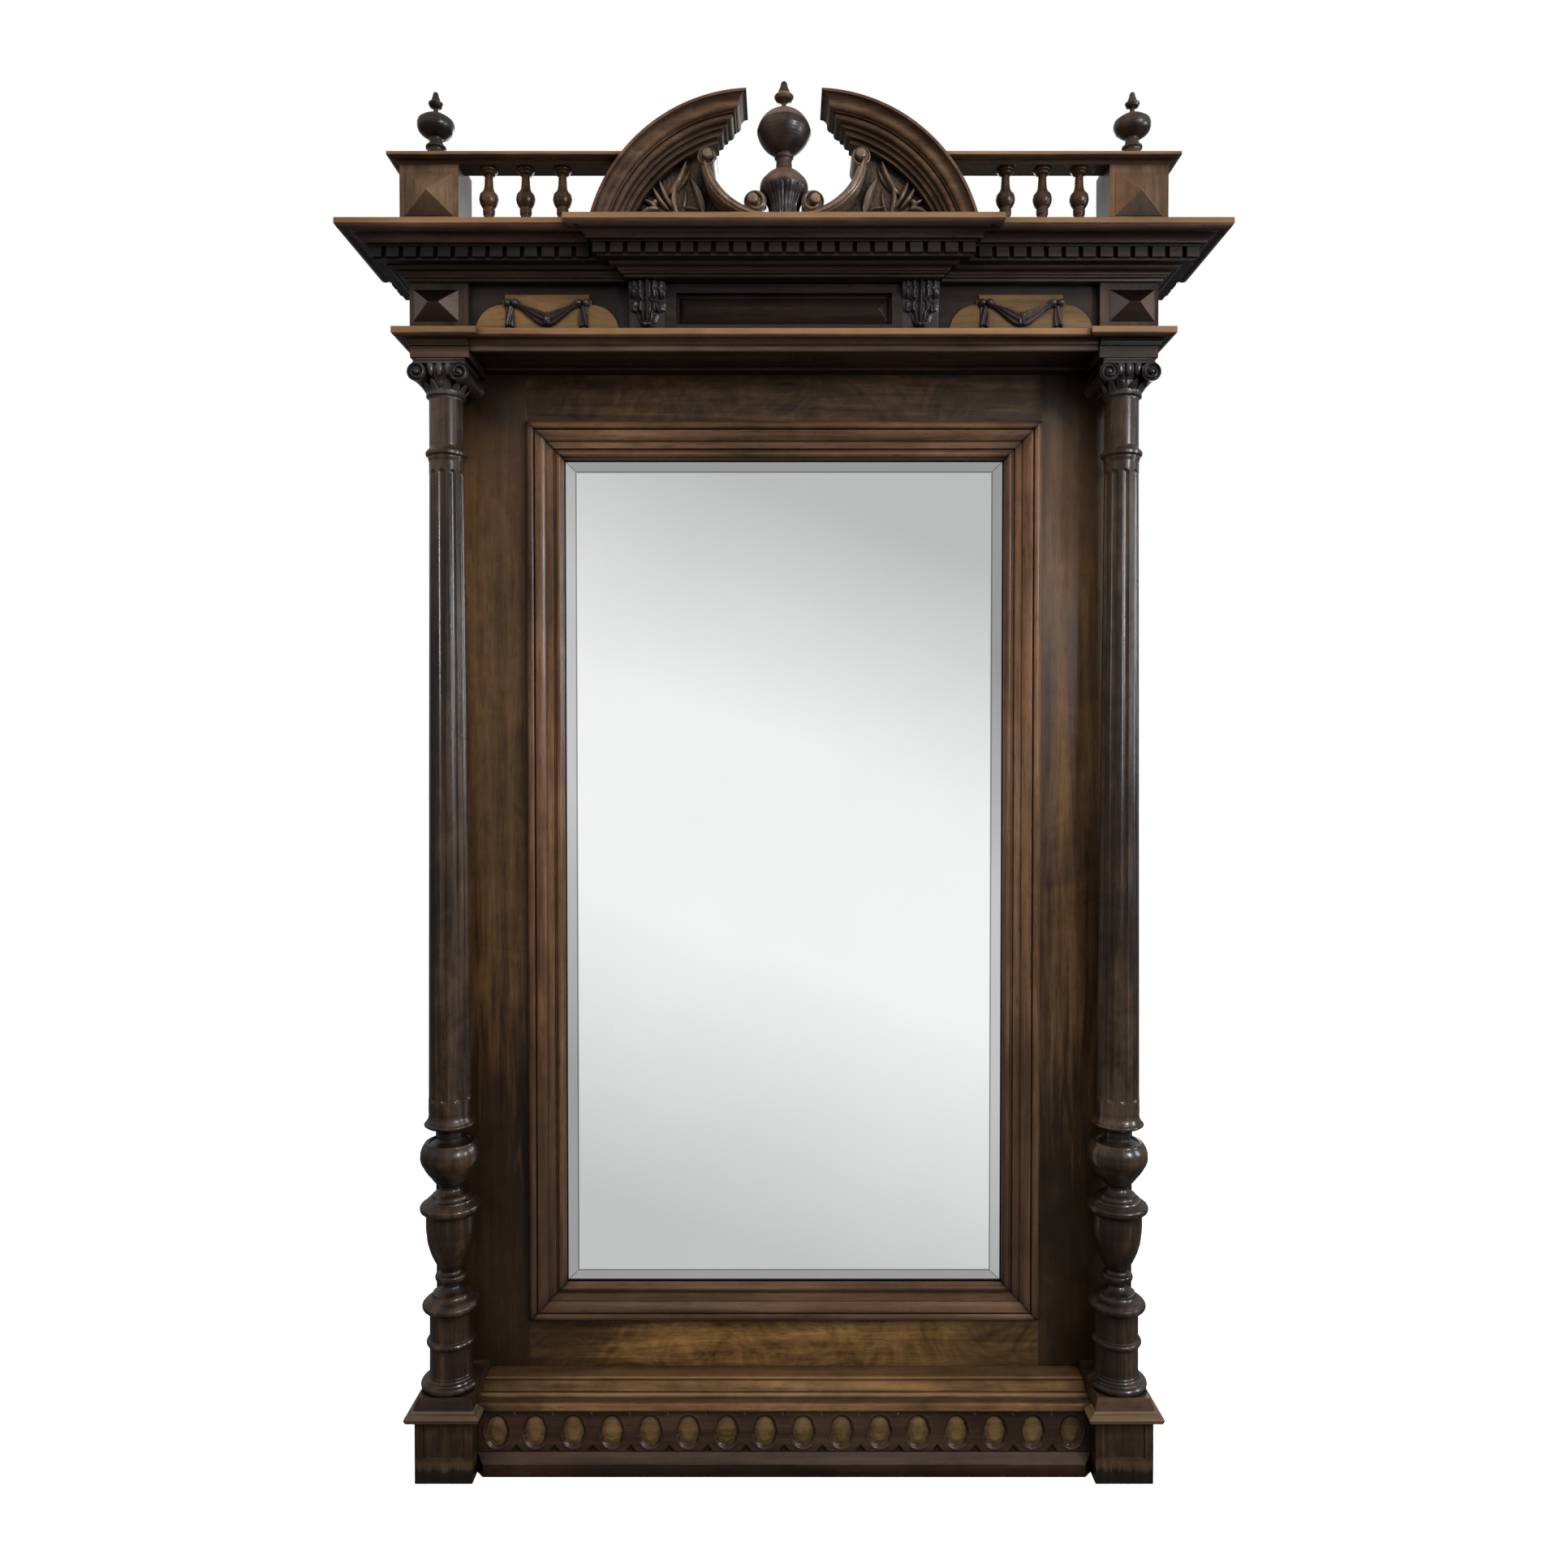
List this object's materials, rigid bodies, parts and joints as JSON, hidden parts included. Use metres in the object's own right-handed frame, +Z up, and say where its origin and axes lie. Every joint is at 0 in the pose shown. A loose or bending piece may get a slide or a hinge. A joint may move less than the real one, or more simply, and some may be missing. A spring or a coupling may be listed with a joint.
{
  "type": "pier mirror",
  "caption": "Tall carved walnut pier mirror: bevelled glass between turned columns on plinths, dentil cornice, baluster gallery and a broken arched pediment with a ball finial.",
  "frame": {"origin": "on the floor, under the centre of the bounding box: half the depth in front of the wall plane, on the middle line of the mirror", "axes": "+X to the right seen from the front, +Y back towards the wall, +Z up"},
  "size_m": [1.262, 0.235, 2.0507],
  "materials": {
    "walnut": "dark walnut, satin varnish",
    "golden_walnut": "paler figured walnut, satin varnish",
    "carved_walnut": "carved walnut darkened in its hollows",
    "softwood": "unvarnished aged pine",
    "mirror": "silvered bevelled plate",
    "iron": "dark oxidised iron"
  },
  "bodies": {
    "root": {"stile_left": "walnut", "stile_right": "walnut", "top_rail": "walnut", "head_rail": "walnut", "moulding_left": "walnut", "moulding_right": "walnut", "moulding_top": "walnut", "moulding_bottom": "walnut", "plinth_left": "walnut", "plinth_right": "walnut", "plinth_cap_left": "walnut", "plinth_cap_right": "walnut", "column_base_left": "walnut", "column_base_right": "walnut", "column_shaft_left": "walnut", "column_shaft_right": "walnut", "skirting": "walnut", "roundel_board": "walnut", "architrave_block_left": "walnut", "architrave_block_right": "walnut", "architrave": "walnut", "frieze_board": "walnut", "frieze_block_left": "walnut", "frieze_block_right": "walnut", "frieze_bosses": "walnut", "centre_panel_frame": "walnut", "centre_field": "walnut", "bed_board": "walnut", "dentil_course": "walnut", "crown_left": "walnut", "crown_centre": "walnut", "crown_right": "walnut", "pedestal_left": "walnut", "pedestal_right": "walnut", "pedestal_bosses": "walnut", "gallery_rail_left": "walnut", "gallery_rail_right": "walnut", "balusters": "walnut", "side_finial_left": "walnut", "side_finial_right": "walnut", "arch_left": "walnut", "arch_right": "walnut", "spandrel_left": "walnut", "spandrel_right": "walnut", "centre_finial": "walnut", "bottom_rail": "golden_walnut", "base_ledge": "golden_walnut", "frieze_plaques": "golden_walnut", "capital_left": "carved_walnut", "capital_right": "carved_walnut", "swag_left": "carved_walnut", "swag_right": "carved_walnut", "bracket_left": "carved_walnut", "bracket_right": "carved_walnut", "backing_boards": "softwood", "glazing_fillets": "softwood", "top_board": "softwood", "mirror_glass": "mirror", "wall_plates": "iron", "screws": "iron"}
  },
  "joints": []
}
